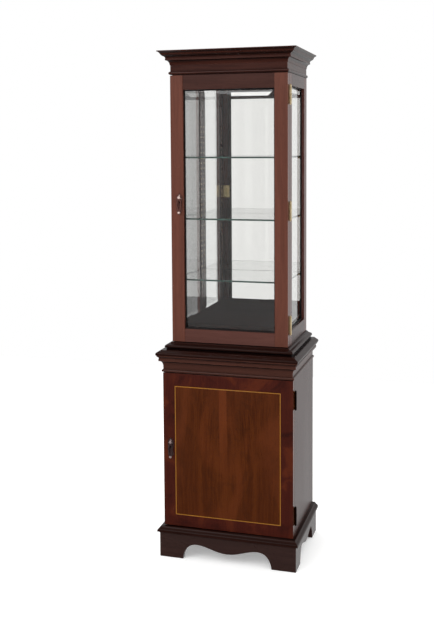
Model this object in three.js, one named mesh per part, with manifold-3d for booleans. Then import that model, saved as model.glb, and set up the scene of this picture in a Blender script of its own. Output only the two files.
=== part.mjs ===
// China cabinet in two stages: a glazed display case with a mirror back over a cupboard.
// Millimetres, +Z up. The origin is on the floor, midway between the sides and between the
// foremost moulding and the flat back; the doors face -Y.
import * as THREE from 'three';
import { mergeVertices } from 'three/addons/utils/BufferGeometryUtils.js';
import Module from 'manifold-3d';

const wasm = await Module();
wasm.setup();

// ---------------------------------------------------------------- driving dimensions
const height = 1830;
const lowerWidth = 480;
const lowerDepth = 360; // door face to back
const upperWidth = 428;
const upperDepth = 326; // door face to back
const gap = 0.3; // between pieces that touch

// Levels above the floor.
const plinthHeight = 88;
const cupboardFloor = 112.5; // top of the base board
const lowerDoorBottom = 115;
const lowerDoorTop = 679;
const waistBottom = 681;
const topBoardBottom = 744;
const lowerHeight = 762.5;
const surbaseTop = 786.5; // top of the moulded base of the display case
const displayFloor = 852; // raised board inside it
const upperDoorBottom = 788.5;
const corniceHeight = 84;
const doorHeadGap = 2;

// Boards and mouldings.
const waistOverhang = 21;
const baseOverhang = 21;
const surbaseOverhang = 22.5;
const corniceOverhang = 37;
const friezeInset = 1;
const plinthOverhang = 13;
const plinthThickness = 18;
const sideThickness = 18;
const boardThickness = 18;
const backThickness = 7;
const footLength = 88;
const sideFootLength = 74;
const archRise = 57;
const apronDrop = 35;
const curveSteps = 8;

// Display case.
const postThickness = 20;
const postWidth = 43;
const doorThickness = 22;
const doorGap = 1.5;
const stileWidth = 47;
const topRailHeight = 51;
const bottomRailHeight = 47;
const railInset = 1;
const sideTopRail = 43;
const sideBottomRail = 50.5;
const rebateWidth = 8;
const glassInset = 13;
const glassThickness = 5;
const sideGlassThickness = 4;
const glassPlay = 0.5; // round each pane in its rebate
const doorBevel = { width: 33, depth: 3 };
const sideBevel = { width: 30, depth: 2.4 };
const mirrorFace = 16; // mirror's front to the back of the cabinet
const mirrorThickness = 5;
const shelfThickness = 6;
const shelfTops = [1014, 1235, 1456];
const shelfSideGap = 1.5;
const shelfFrontGap = 7;
const shelfBackGap = 2;

// Cupboard.
const cupboardShelfTop = 400;
const shelfBehindLock = 2;
const inlayWidth = 3;
const inlayDepth = 1.2;
const inlayPlay = 0.1;
const inlaySink = 0.05; // below the face of the door
const inlaySide = 44.4;
const inlayTop = 46.5;
const inlayBottom = 42;

// Butt hinges.
const hingeHeight = 64;
const knuckles = 5;
const barrelRadius = 4;
const pinRadius = 1.5;
const boreRadius = 1.75;
const leafReach = 20;
const leafThickness = 1.5;
const leafToAxis = 2.6; // from the edge of a leaf's plate to the pin
const barrelClearance = 0.4;
const recessClearance = 0.2;
const finialRadius = 3;
const upperHingeOffset = 404; // outer hinges from the middle of the upper door
const lowerHingeOffset = 208;

// Locks and drop handles.
const lockWidth = 25;
const lockHeight = 50;
const lockDepth = 12;
const lockSideGap = 1; // from the carcass to the lock case
const boltLength = 17.5;
const boltHeight = 14;
const boltThickness = 5.5;
const boltThrow = 7;
const boltFromDoor = 3.8;
const mortiseClearance = { depth: 1, thickness: 0.5, height: 1 };
const keyBelowBolt = 12;
const upperKeyFromEdge = 31.5;
const lowerKeyFromEdge = 28;
const keyBelowPivot = 19;
const keyholeRadius = 2.8;
const keyholeLength = 11.5;
const upperPivotHeight = 1312;
const lowerPivotHeight = 427;
const plateThickness = 2;
const pivotStandoff = 3.8;
const dropThickness = 3;
const dropLength = 55;
const knobRadius = 5;

// ---------------------------------------------------------------- derived places
const back = (lowerDepth + Math.max(waistOverhang, baseOverhang)) / 2;
const lowerFront = back - lowerDepth;
const upperFront = back - upperDepth;
const lowerHalf = lowerWidth / 2;
const upperHalf = upperWidth / 2;
const corniceBottom = height - corniceHeight;
const upperDoorTop = corniceBottom - doorHeadGap;
const upperDoorBack = upperFront + doorThickness;
const lowerDoorBack = lowerFront + doorThickness;
const upperCarcass = upperDoorBack + doorGap;
const lowerCarcass = lowerDoorBack + doorGap;
const upperInside = upperHalf - postThickness;
const lowerInside = lowerHalf - sideThickness;
const doorOpeningBottom = upperDoorBottom + bottomRailHeight;
const doorOpeningTop = upperDoorTop - topRailHeight;
const sideOpeningBottom = surbaseTop + sideBottomRail;
const sideOpeningTop = corniceBottom - sideTopRail;
const backPostFront = back - postWidth;
const frontPostBack = upperCarcass + postWidth;

// ---------------------------------------------------------------- materials
function finish(color, roughness, metalness = 0, extra = {}) {
  return new THREE.MeshStandardMaterial({ color, roughness, metalness, ...extra });
}
const glassLook = { transparent: true, opacity: 0.3 };
const materials = {
  mahogany: () => finish(0x5a2a1e, 0.35),
  veneer: () => finish(0x6b3015, 0.3),
  plywood: () => finish(0x8a5a3a, 0.7),
  boxwood: () => finish(0xb98746, 0.4),
  glass: () => finish(0xe8f2ee, 0.03, 0, glassLook),
  shelfGlass: () => finish(0xcfe3da, 0.03, 0, glassLook),
  mirror: () => finish(0xd8dcda, 0.02, 1),
  brass: () => finish(0xb08d4a, 0.3, 1),
  antiqueBrass: () => finish(0x6a5238, 0.4, 1),
};

// ---------------------------------------------------------------- geometry helpers
function block([x0, x1], [y0, y1], [z0, z1]) {
  const box = new THREE.BoxGeometry(x1 - x0, y1 - y0, z1 - z0);
  return box.translate((x0 + x1) / 2, (y0 + y1) / 2, (z0 + z1) / 2);
}

function rod(radius, length, segments = 16) {
  return new THREE.CylinderGeometry(radius, radius, length, segments).rotateX(Math.PI / 2);
}

function extrude(shape, depth) {
  return new THREE.ExtrudeGeometry(shape, { depth, bevelEnabled: false, curveSegments: curveSteps });
}

function outline(points) {
  return new THREE.Shape(points.map(([u, v]) => new THREE.Vector2(u, v)));
}

// Shape x and y become Y and Z, and the extrusion runs along X.
function prismX(shape, [x0, x1]) {
  const swap = new THREE.Matrix4().makeBasis(
    new THREE.Vector3(0, 1, 0), new THREE.Vector3(0, 0, 1), new THREE.Vector3(1, 0, 0));
  return extrude(shape, x1 - x0).applyMatrix4(swap).translate(x0, 0, 0);
}

// Shape x and y become X and Z, and the extrusion runs along Y.
function prismY(shape, [y0, y1]) {
  return extrude(shape, y1 - y0).rotateX(Math.PI / 2).translate(0, y1, 0);
}

function toSolid(geometry) {
  const bare = geometry.clone();
  bare.deleteAttribute('normal');
  bare.deleteAttribute('uv');
  const merged = mergeVertices(bare, 1e-4);
  return new wasm.Manifold(new wasm.Mesh({
    numProp: 3,
    vertProperties: new Float32Array(merged.attributes.position.array),
    triVerts: new Uint32Array(merged.index.array),
  }));
}

function toGeometry(solid) {
  const mesh = solid.getMesh();
  const geometry = new THREE.BufferGeometry();
  geometry.setAttribute('position', new THREE.BufferAttribute(mesh.vertProperties, 3));
  geometry.setIndex(new THREE.BufferAttribute(mesh.triVerts, 1));
  return geometry;
}

function join(first, ...others) {
  return toGeometry(others.reduce((sum, other) => sum.add(toSolid(other)), toSolid(first)));
}

function cut(first, ...others) {
  return toGeometry(others.reduce((rest, other) => rest.subtract(toSolid(other)), toSolid(first)));
}

function common(first, second) {
  return toGeometry(toSolid(first).intersect(toSolid(second)));
}

function mirrored(geometry) {
  const copy = geometry.clone().scale(-1, 1, 1);
  const index = copy.index.array;
  for (let i = 0; i < index.length; i += 3) {
    [index[i], index[i + 1]] = [index[i + 1], index[i]];
  }
  return copy;
}

const cabinet = new THREE.Group();
cabinet.name = 'china_cabinet';
const displayCase = new THREE.Group();
const upperDoor = new THREE.Group();
const cupboard = new THREE.Group();
const lowerDoor = new THREE.Group();
cabinet.add(displayCase, upperDoor, cupboard, lowerDoor);

function piece(group, name, geometry, material) {
  const mesh = new THREE.Mesh(geometry, materials[material]());
  mesh.name = name;
  group.add(mesh);
}

// ---------------------------------------------------------------- moulding profiles
// Each profile is the outer line only, from its bottom to its top, as [overhang, height].
function pathPoints(path) {
  return path.getPoints(curveSteps).map((p) => [p.x, p.y]);
}

function corniceProfile(bottom) {
  const top = bottom + corniceHeight;
  const path = new THREE.Path();
  path.moveTo(-friezeInset, bottom);
  path.lineTo(-friezeInset, bottom + 0.5);
  path.absarc(-friezeInset, bottom + 6, 5.5, -Math.PI / 2, Math.PI / 2, false);
  path.lineTo(-friezeInset, top - 50);
  path.lineTo(0.5, top - 49.5);
  path.quadraticCurveTo(1.5, top - 35, 12, top - 33);
  path.lineTo(13.5, top - 33);
  path.lineTo(13.5, top - 27);
  path.lineTo(12.5, top - 26.5);
  path.bezierCurveTo(14, top - 17, 22, top - 21, 25.5, top - 13.5);
  path.lineTo(27, top - 13);
  path.quadraticCurveTo(28.5, top - 5.5, corniceOverhang - 1, top - 4);
  path.lineTo(corniceOverhang, top - 3);
  path.lineTo(corniceOverhang, top);
  return pathPoints(path);
}

function waistProfile(bottom, top) {
  const path = new THREE.Path();
  path.moveTo(-friezeInset, bottom);
  path.lineTo(-friezeInset, bottom + 0.5);
  path.absarc(-friezeInset, bottom + 5.5, 5, -Math.PI / 2, Math.PI / 2, false);
  path.lineTo(-friezeInset, bottom + 23);
  path.quadraticCurveTo(0, bottom + 39, 11, bottom + 41.5);
  path.lineTo(12.5, bottom + 42);
  path.lineTo(12.5, bottom + 50);
  path.lineTo(11, bottom + 50.5);
  path.bezierCurveTo(12, bottom + 58, 17, bottom + 55, waistOverhang - 2.5, top);
  return pathPoints(path);
}

function topBoardProfile(bottom, top) {
  const path = new THREE.Path();
  path.moveTo(waistOverhang - 1.5, bottom);
  path.lineTo(waistOverhang, bottom + 2.5);
  path.lineTo(waistOverhang, bottom + 6.5);
  path.bezierCurveTo(waistOverhang - 1, bottom + 12, 11, bottom + 13, 7.5, top - 1);
  path.lineTo(6, top);
  return pathPoints(path);
}

function surbaseProfile(bottom, top) {
  const path = new THREE.Path();
  path.moveTo(surbaseOverhang - 5, bottom);
  path.lineTo(surbaseOverhang - 5, bottom + 4);
  path.quadraticCurveTo(surbaseOverhang - 4.5, bottom + 6.5, surbaseOverhang, bottom + 7);
  path.lineTo(surbaseOverhang, bottom + 10.5);
  path.bezierCurveTo(surbaseOverhang - 1.5, bottom + 19, 8.5, bottom + 15, 5, top - 2);
  path.lineTo(3.5, top - 1.5);
  path.lineTo(3.5, top);
  return pathPoints(path);
}

function baseProfile(bottom, top) {
  const path = new THREE.Path();
  path.moveTo(plinthOverhang + 1, bottom);
  path.quadraticCurveTo(plinthOverhang + 2, bottom + 4, baseOverhang, bottom + 5);
  path.lineTo(baseOverhang, bottom + 10);
  path.bezierCurveTo(baseOverhang - 1, bottom + 17, 13, bottom + 16, 10, top - 1);
  path.lineTo(8, top);
  return pathPoints(path);
}

// A board with the profile worked on its front and both ends, and a plain back edge.
function mouldedBoard(profile, half, front) {
  const top = profile[profile.length - 1][1];
  const bottom = profile[0][1];
  const reach = half + Math.max(...profile.map(([o]) => o)) + 1;
  const frontEdge = profile.map(([o, z]) => [front - o, z]);
  const section = outline([[back, bottom], ...frontEdge, [back, top]]);
  const right = profile.map(([o, z]) => [half + o, z]);
  const left = profile.map(([o, z]) => [-half - o, z]).reverse();
  const ends = outline([...right, ...left]);
  return common(prismX(section, [-reach, reach]), prismY(ends, [front - reach, back + 1]));
}

// A length of moulding: its section is swept between two ends that each follow the mitre.
function sweptMoulding(profile, thickness, place) {
  const bottom = profile[0][1];
  const top = profile[profile.length - 1][1];
  const section = outline([[-thickness, bottom], ...profile, [-thickness, top]]);
  const geometry = extrude(section, 1);
  const position = geometry.attributes.position;
  for (let i = 0; i < position.count; i += 1) {
    const o = position.getX(i);
    const z = position.getY(i);
    const [x, y] = place(o, position.getZ(i));
    position.setXYZ(i, x, y, z);
  }
  return geometry;
}

function frontMoulding(profile, thickness, half, front) {
  const mitre = (o) => half + o - gap / 2;
  return sweptMoulding(profile, thickness, (o, t) => [mitre(o) * (1 - 2 * t), front - o]);
}

function leftMoulding(profile, thickness, half, front) {
  return sweptMoulding(profile, thickness, (o, t) => {
    const start = front - o + gap / 2;
    return [-half - o, start + t * (back - start)];
  });
}

function mouldingSet(group, prefix, profile, thickness, half, front, railBack, material) {
  const top = profile[profile.length - 1][1];
  const rail = block([gap - half + thickness, half - thickness - gap],
    [front + thickness - 1, railBack], [profile[0][1], top]);
  piece(group, `${prefix}_front`, join(frontMoulding(profile, thickness, half, front), rail), material);
  const left = toGeometry(toSolid(leftMoulding(profile, thickness, half, front)));
  piece(group, `${prefix}_left`, left, material);
  piece(group, `${prefix}_right`, mirrored(left), material);
}

// ---------------------------------------------------------------- bevelled glass
// Flat on z = 0, its front face on z = thickness, with a wide bevel round the front.
function bevelledPane(width, length, thickness, bevel) {
  const edge = thickness - bevel.depth;
  const section = (size) => outline([
    [-size / 2, 0], [size / 2, 0], [size / 2, edge], [size / 2 - bevel.width, thickness],
    [bevel.width - size / 2, thickness], [-size / 2, edge]]);
  const across = prismY(section(width), [-length, length]);
  const along = prismX(section(length), [-width, width]);
  return common(across, along);
}

function facingFront(pane, x, y, z) {
  return pane.rotateX(Math.PI / 2).translate(x, y, z);
}

function facingRight(pane, x, y, z) {
  const turn = new THREE.Matrix4().makeBasis(
    new THREE.Vector3(0, 1, 0), new THREE.Vector3(0, 0, 1), new THREE.Vector3(1, 0, 0));
  return pane.applyMatrix4(turn).translate(x, y, z);
}

// ---------------------------------------------------------------- butt hinges
function hingeAxis(half, doorBack) {
  return { x: half + barrelRadius + barrelClearance, y: doorBack + doorGap / 2 };
}

function knuckleSpan(i) {
  const pitch = hingeHeight / knuckles;
  const start = i * pitch - hingeHeight / 2;
  return [start + gap / 2, start + pitch - gap / 2];
}

function knuckleRod(radius, [z0, z1], extra = 0) {
  return rod(radius, z1 - z0 + 2 * extra).translate(0, 0, (z0 + z1) / 2);
}

// One leaf about an axis at the origin. side is -1 for the door's leaf and 1 for the frame's.
function hingeLeaf(side) {
  const own = side > 0 ? 0 : 1;
  const inner = gap / 2;
  const outer = inner + leafThickness;
  const plate = block([-leafReach, -leafToAxis],
    side > 0 ? [inner, outer] : [-outer, -inner], [-hingeHeight / 2, hingeHeight / 2]);
  const mine = [];
  const theirs = [];
  for (let i = 0; i < knuckles; i += 1) {
    if (i % 2 === own) {
      mine.push(knuckleRod(barrelRadius, knuckleSpan(i)));
    } else {
      theirs.push(knuckleRod(barrelRadius + barrelClearance, knuckleSpan(i), gap));
    }
  }
  const leaf = join(cut(plate, ...theirs), ...mine);
  if (side < 0) {
    return cut(leaf, rod(boreRadius, 2 * hingeHeight));
  }
  const finial = new THREE.SphereGeometry(finialRadius, 12, 8).rotateX(Math.PI / 2);
  const reach = hingeHeight / 2 + 1;
  return join(leaf, rod(pinRadius, hingeHeight), finial.clone().translate(0, 0, reach),
    finial.clone().translate(0, 0, -reach));
}

// The recess that a leaf lies in, cut into the wood on its own side of the joint.
function hingeRecess(side, axis, z) {
  const depth = gap / 2 + leafThickness + recessClearance;
  const span = side > 0
    ? [axis.y - barrelRadius, axis.y + depth]
    : [axis.y - depth, axis.y + barrelRadius];
  const tall = hingeHeight / 2 + gap;
  return block([axis.x - leafReach - gap, axis.x], span, [z - tall, z + tall]);
}

function addHinges(prefix, frameGroup, doorGroup, axis, heights) {
  heights.forEach((z, i) => {
    const name = `${prefix}_hinge_${i + 1}`;
    piece(frameGroup, `${name}_frame_leaf`, hingeLeaf(1).translate(axis.x, axis.y, z), 'brass');
    piece(doorGroup, `${name}_door_leaf`, hingeLeaf(-1).translate(axis.x, axis.y, z), 'brass');
  });
}

const upperAxis = hingeAxis(upperHalf, upperDoorBack);
const lowerAxis = hingeAxis(lowerHalf, lowerDoorBack);
const upperDoorMiddle = (upperDoorBottom + upperDoorTop) / 2;
const lowerDoorMiddle = (lowerDoorBottom + lowerDoorTop) / 2;
const upperHingeHeights = [-1, 0, 1].map((i) => upperDoorMiddle + i * upperHingeOffset);
const lowerHingeHeights = [-1, 1].map((i) => lowerDoorMiddle + i * lowerHingeOffset);

// ---------------------------------------------------------------- locks
// Each lock stands on the inside of its door, just clear of the carcass, and shoots its bolt
// sideways into a mortise there.
function lockPlace(inside, doorBack, pivotHeight) {
  const x = lockSideGap - inside;
  const key = pivotHeight - keyBelowPivot;
  const bolt = [doorBack + boltFromDoor, doorBack + boltFromDoor + boltThickness];
  return { x, key, boltZ: key + keyBelowBolt, bolt, doorBack };
}

function lockCase({ x, boltZ, bolt, doorBack }) {
  const body = block([x, x + lockWidth], [doorBack + gap, doorBack + lockDepth],
    [boltZ - lockHeight / 2, boltZ + lockHeight / 2]);
  const channel = block([x - 1, x + boltLength + gap], [bolt[0] - gap, bolt[1] + gap],
    [boltZ - boltHeight / 2 - gap, boltZ + boltHeight / 2 + gap]);
  return cut(body, channel);
}

function lockBolt({ x, boltZ, bolt }) {
  return block([x, x + boltLength], bolt, [boltZ - boltHeight / 2, boltZ + boltHeight / 2]);
}

function boltMortise({ x, boltZ, bolt }) {
  const { depth, thickness, height: above } = mortiseClearance;
  const tall = boltHeight / 2 + above;
  return block([x - boltThrow - depth, x], [bolt[0] - thickness, bolt[1] + thickness],
    [boltZ - tall, boltZ + tall]);
}

const upperLock = lockPlace(upperInside, upperDoorBack, upperPivotHeight);
const lowerLock = lockPlace(lowerInside, lowerDoorBack, lowerPivotHeight);

// ---------------------------------------------------------------- drop handles
// Outlines are in X and Z about the pivot.
function keyholePath(path) {
  const neck = 0.6 * keyholeRadius;
  path.absarc(0, -keyBelowPivot, keyholeRadius, -0.3 * Math.PI, 1.3 * Math.PI, false);
  path.lineTo(-neck, -keyBelowPivot - keyholeLength);
  path.lineTo(neck, -keyBelowPivot - keyholeLength);
  path.closePath();
  return path;
}

function plateOutline() {
  const shape = new THREE.Shape();
  shape.moveTo(0, 15);
  shape.quadraticCurveTo(-1.5, 10, -5.5, 9.5);
  shape.quadraticCurveTo(-5.5, 5.5, -10.5, 3);
  shape.bezierCurveTo(-12.5, -9, -11, -22, -7.5, -30);
  shape.bezierCurveTo(-7.5, -37, -11.5, -38, -10.5, -47);
  shape.quadraticCurveTo(-9.5, -53, -4.5, -54);
  shape.quadraticCurveTo(-2, -58, 0, -64);
  shape.quadraticCurveTo(2, -58, 4.5, -54);
  shape.quadraticCurveTo(9.5, -53, 10.5, -47);
  shape.bezierCurveTo(11.5, -38, 7.5, -37, 7.5, -30);
  shape.bezierCurveTo(11, -22, 12.5, -9, 10.5, 3);
  shape.quadraticCurveTo(5.5, 5.5, 5.5, 9.5);
  shape.quadraticCurveTo(1.5, 10, 0, 15);
  shape.holes.push(keyholePath(new THREE.Path()));
  return shape;
}

function dropOutline() {
  const shape = new THREE.Shape();
  shape.moveTo(-3, 0);
  shape.lineTo(-3, -4.5);
  shape.quadraticCurveTo(-4.5, -10, -7.5, -14);
  shape.bezierCurveTo(-11.5, -24, -8, -38, -3, 2 - dropLength);
  shape.lineTo(3, 2 - dropLength);
  shape.bezierCurveTo(8, -38, 11.5, -24, 7.5, -14);
  shape.quadraticCurveTo(4.5, -10, 3, -4.5);
  shape.lineTo(3, 0);
  const opening = new THREE.Path();
  opening.moveTo(0, -11.5);
  opening.quadraticCurveTo(2.5, -13, 4.5, -15.5);
  opening.bezierCurveTo(8, -24, 5, -34, 1.4, -44);
  opening.lineTo(-1.4, -44);
  opening.bezierCurveTo(-5, -34, -8, -24, -4.5, -15.5);
  opening.quadraticCurveTo(-2.5, -13, 0, -11.5);
  shape.holes.push(opening);
  return shape;
}

const lugReach = 6.4;
const lugThickness = 2.5;
const lugRadius = 3;
const eyeHalf = lugReach - lugThickness - gap;
const eyeRadius = 2.8;
const dropPinRadius = 1.2;
const eyeBore = 1.45;

function crossRod(radius, half, segments = 12) {
  return rod(radius, 2 * half, segments).rotateY(Math.PI / 2);
}

function handlePlate() {
  const plate = prismY(plateOutline(), [pivotStandoff, pivotStandoff + plateThickness]);
  const lug = (x) => block([x, x + lugThickness], [-lugRadius, pivotStandoff + 0.5],
    [-lugRadius, lugRadius]);
  return join(plate, lug(lugReach - lugThickness), lug(-lugReach), crossRod(dropPinRadius, lugReach - 1));
}

function handleDrop() {
  const loop = prismY(dropOutline(), [-dropThickness / 2, dropThickness / 2]);
  const eye = crossRod(eyeRadius, eyeHalf);
  const knob = new THREE.SphereGeometry(knobRadius, 16, 12).rotateX(Math.PI / 2);
  const hung = join(loop, eye, knob.translate(0, -1.8, -dropLength));
  return cut(hung, crossRod(eyeBore, lugReach));
}

function addHandle(prefix, group, half, front, keyFromEdge, pivotHeight) {
  const x = keyFromEdge - half;
  const y = front - gap - plateThickness - pivotStandoff;
  piece(group, `${prefix}_handle_plate`, handlePlate().translate(x, y, pivotHeight), 'antiqueBrass');
  piece(group, `${prefix}_handle_drop`, handleDrop().translate(x, y, pivotHeight), 'antiqueBrass');
}

function keyHole(half, front, keyFromEdge, key) {
  const hole = rod(keyholeRadius, 3 * doorThickness, 12).rotateX(Math.PI / 2);
  return hole.translate(keyFromEdge - half, front, key);
}

// ---------------------------------------------------------------- display case
function buildCornice() {
  const profile = corniceProfile(corniceBottom);
  mouldingSet(displayCase, 'cornice', profile, postThickness, upperHalf, upperFront,
    upperCarcass + postThickness, 'mahogany');
  const inside = upperInside - gap;
  piece(displayCase, 'top_board', block([-inside, inside],
    [upperCarcass + postThickness + gap, back - gap],
    [corniceBottom, corniceBottom + boardThickness]), 'mahogany');
  piece(displayCase, 'upper_front_rail', block([-inside, inside],
    [upperCarcass, upperCarcass + postThickness],
    [sideOpeningTop, corniceBottom - gap]), 'mahogany');
}

// The rebate that holds a side pane, seen from inside, for the right-hand frame.
function sideRebate(yRange, zRange) {
  return block([upperInside - 1, upperHalf - glassInset], yRange, zRange);
}

function buildSideFrames() {
  const bottom = surbaseTop + gap;
  const top = corniceBottom - gap;
  const glassZ = [sideOpeningBottom - rebateWidth, sideOpeningTop + rebateWidth];
  const across = [upperInside, upperHalf];
  const frontRebate = sideRebate([frontPostBack - rebateWidth, frontPostBack + 1], glassZ);
  const front = cut(block(across, [upperCarcass, frontPostBack], [bottom, top]), frontRebate);
  const backRebate = sideRebate([backPostFront - 1, backPostFront + rebateWidth], glassZ);
  const rear = cut(block(across, [backPostFront, back], [bottom, top]), backRebate);
  const between = [frontPostBack + gap, backPostFront - gap];
  const rail = (z0, z1, rebateZ) => cut(block(across, between, [z0, z1]), sideRebate(
    [between[0] - 1, between[1] + 1], rebateZ));
  const lowerRail = rail(bottom, sideOpeningBottom, [glassZ[0], sideOpeningBottom + 1]);
  const upperRail = rail(sideOpeningTop, top, [sideOpeningTop - 1, glassZ[1]]);
  const recesses = upperHingeHeights.map((z) => hingeRecess(1, upperAxis, z));
  piece(displayCase, 'front_right_post', cut(front, ...recesses), 'mahogany');
  piece(displayCase, 'front_left_post', cut(mirrored(front), boltMortise(upperLock)), 'mahogany');
  piece(displayCase, 'back_right_post', rear, 'mahogany');
  piece(displayCase, 'back_left_post', mirrored(rear), 'mahogany');
  piece(displayCase, 'right_bottom_rail', lowerRail, 'mahogany');
  piece(displayCase, 'left_bottom_rail', mirrored(lowerRail), 'mahogany');
  piece(displayCase, 'right_top_rail', upperRail, 'mahogany');
  piece(displayCase, 'left_top_rail', mirrored(upperRail), 'mahogany');
}

function buildSideGlass() {
  const width = backPostFront - frontPostBack + 2 * (rebateWidth - glassPlay);
  const length = sideOpeningTop - sideOpeningBottom + 2 * (rebateWidth - glassPlay);
  const pane = facingRight(bevelledPane(width, length, sideGlassThickness, sideBevel),
    upperHalf - glassInset - gap - sideGlassThickness,
    (frontPostBack + backPostFront) / 2, (sideOpeningBottom + sideOpeningTop) / 2);
  piece(displayCase, 'right_glass', pane, 'glass');
  piece(displayCase, 'left_glass', mirrored(pane), 'glass');
}

// The mirror, the board behind it, and the raised floor with the rail that carries its front edge.
function buildBackAndFloor() {
  const wide = upperInside - gap;
  const top = corniceBottom - gap;
  const mirrorBack = back - mirrorFace + mirrorThickness;
  piece(displayCase, 'mirror', block([-wide, wide], [back - mirrorFace, mirrorBack],
    [displayFloor + gap, top]), 'mirror');
  piece(displayCase, 'upper_back_board', block([-wide, wide],
    [mirrorBack + gap, back - 1], [surbaseTop + gap, top]), 'plywood');
  const board = block([-wide, wide], [upperCarcass, mirrorBack],
    [displayFloor - boardThickness, displayFloor]);
  const rail = block([-wide, wide], [upperCarcass, upperCarcass + postThickness],
    [surbaseTop + gap, displayFloor - 1]);
  piece(displayCase, 'display_floor', join(board, rail), 'mahogany');
}

function buildShelves() {
  const reach = upperInside - shelfSideGap;
  const depth = [upperCarcass + shelfFrontGap, back - mirrorFace - shelfBackGap];
  shelfTops.forEach((top, i) => {
    piece(displayCase, `glass_shelf_${i + 1}`, block([-reach, reach], depth,
      [top - shelfThickness, top]), 'shelfGlass');
  });
}

function buildDisplayCase() {
  piece(displayCase, 'display_base',
    mouldedBoard(surbaseProfile(lowerHeight, surbaseTop), upperHalf, upperFront), 'mahogany');
  buildSideFrames();
  buildSideGlass();
  buildBackAndFloor();
  buildShelves();
  buildCornice();
}

// ---------------------------------------------------------------- glazed door
function buildUpperDoor() {
  const inner = upperHalf - stileWidth;
  const depth = [upperFront, upperDoorBack];
  const rebateY = [upperFront + glassInset, upperDoorBack + 1];
  const rebateZ = [doorOpeningBottom - rebateWidth, doorOpeningTop + rebateWidth];
  const stile = cut(block([inner, upperHalf], depth, [upperDoorBottom, upperDoorTop]),
    block([inner - 1, inner + rebateWidth], rebateY, rebateZ));
  const recesses = upperHingeHeights.map((z) => hingeRecess(-1, upperAxis, z));
  piece(upperDoor, 'door_right_stile', cut(stile, ...recesses), 'mahogany');
  piece(upperDoor, 'door_left_stile', cut(mirrored(stile),
    keyHole(upperHalf, upperFront, upperKeyFromEdge, upperLock.key)), 'mahogany');

  const railX = [gap - inner, inner - gap];
  const railY = [upperFront + railInset, upperDoorBack];
  const rail = (z0, z1, rebate) => cut(block(railX, railY, [z0, z1]),
    block([-inner, inner], rebateY, rebate));
  piece(upperDoor, 'door_top_rail', rail(doorOpeningTop, upperDoorTop,
    [doorOpeningTop - 1, rebateZ[1]]), 'mahogany');
  piece(upperDoor, 'door_bottom_rail', rail(upperDoorBottom, doorOpeningBottom,
    [rebateZ[0], doorOpeningBottom + 1]), 'mahogany');

  const pane = bevelledPane(2 * (inner + rebateWidth - glassPlay),
    rebateZ[1] - rebateZ[0] - 2 * glassPlay, glassThickness, doorBevel);
  piece(upperDoor, 'door_glass', facingFront(pane, 0, upperFront + glassInset + gap + glassThickness,
    (rebateZ[0] + rebateZ[1]) / 2), 'glass');

  piece(upperDoor, 'upper_lock_case', lockCase(upperLock), 'brass');
  piece(upperDoor, 'upper_lock_bolt', lockBolt(upperLock), 'brass');
  addHandle('upper', upperDoor, upperHalf, upperFront, upperKeyFromEdge, upperPivotHeight);
  addHinges('upper', displayCase, upperDoor, upperAxis, upperHingeHeights);
}

// ---------------------------------------------------------------- cupboard
function buildCupboard() {
  piece(cupboard, 'lower_top_board',
    mouldedBoard(topBoardProfile(topBoardBottom, lowerHeight - gap), lowerHalf, lowerFront), 'mahogany');
  mouldingSet(cupboard, 'waist', waistProfile(waistBottom, topBoardBottom - gap), sideThickness,
    lowerHalf, lowerFront, lowerCarcass + boardThickness, 'mahogany');
  piece(cupboard, 'base_board',
    mouldedBoard(baseProfile(plinthHeight, cupboardFloor), lowerHalf, lowerFront), 'mahogany');

  const side = block([lowerInside, lowerHalf], [lowerCarcass, back],
    [cupboardFloor + gap, waistBottom - gap]);
  const recesses = lowerHingeHeights.map((z) => hingeRecess(1, lowerAxis, z));
  piece(cupboard, 'right_side_panel', cut(side, ...recesses), 'mahogany');
  piece(cupboard, 'left_side_panel', cut(mirrored(side), boltMortise(lowerLock)), 'mahogany');
  const wide = lowerInside - gap;
  piece(cupboard, 'lower_back_board', block([-wide, wide], [back - backThickness, back - 1],
    [cupboardFloor + gap, topBoardBottom - gap]), 'plywood');
  piece(cupboard, 'cupboard_shelf', block([-wide, wide],
    [lowerCarcass + lockDepth + shelfBehindLock, back - backThickness - gap],
    [cupboardShelfTop - boardThickness, cupboardShelfTop]), 'plywood');
}

// The lower edge of the plinth between its feet: a quarter round up to the arch, then an ogee
// down to the drop in the middle. Runs from +span to -span.
function apronCurve(shape, span, rise, drop) {
  const crest = 0.69 * span;
  shape.lineTo(span, 0);
  shape.bezierCurveTo(span - 5, 0.72 * rise, crest + 0.15 * span, rise, crest, rise);
  shape.bezierCurveTo(0.46 * span, rise, 0.27 * span, drop, 0, drop);
  shape.bezierCurveTo(-0.27 * span, drop, -0.46 * span, rise, -crest, rise);
  shape.bezierCurveTo(-crest - 0.15 * span, rise, 5 - span, 0.72 * rise, -span, 0);
  return shape;
}

function apronOutline(half, foot, top, rise, drop) {
  const shape = new THREE.Shape();
  shape.moveTo(-half, 0);
  shape.lineTo(-half, top);
  shape.lineTo(half, top);
  shape.lineTo(half, 0);
  apronCurve(shape, half - foot, rise, drop);
  shape.closePath();
  return shape;
}

// Slants an end of a panel to its mitre: the inner corner moves in by the panel's thickness.
function mitred(geometry, along, isInner, isEnd, shift) {
  const position = geometry.attributes.position;
  for (let i = 0; i < position.count; i += 1) {
    const point = [position.getX(i), position.getY(i)];
    if (isInner(...point) && isEnd(...point)) {
      point[along] += shift * plinthThickness;
      position.setXY(i, ...point);
    }
  }
  return geometry;
}

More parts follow.
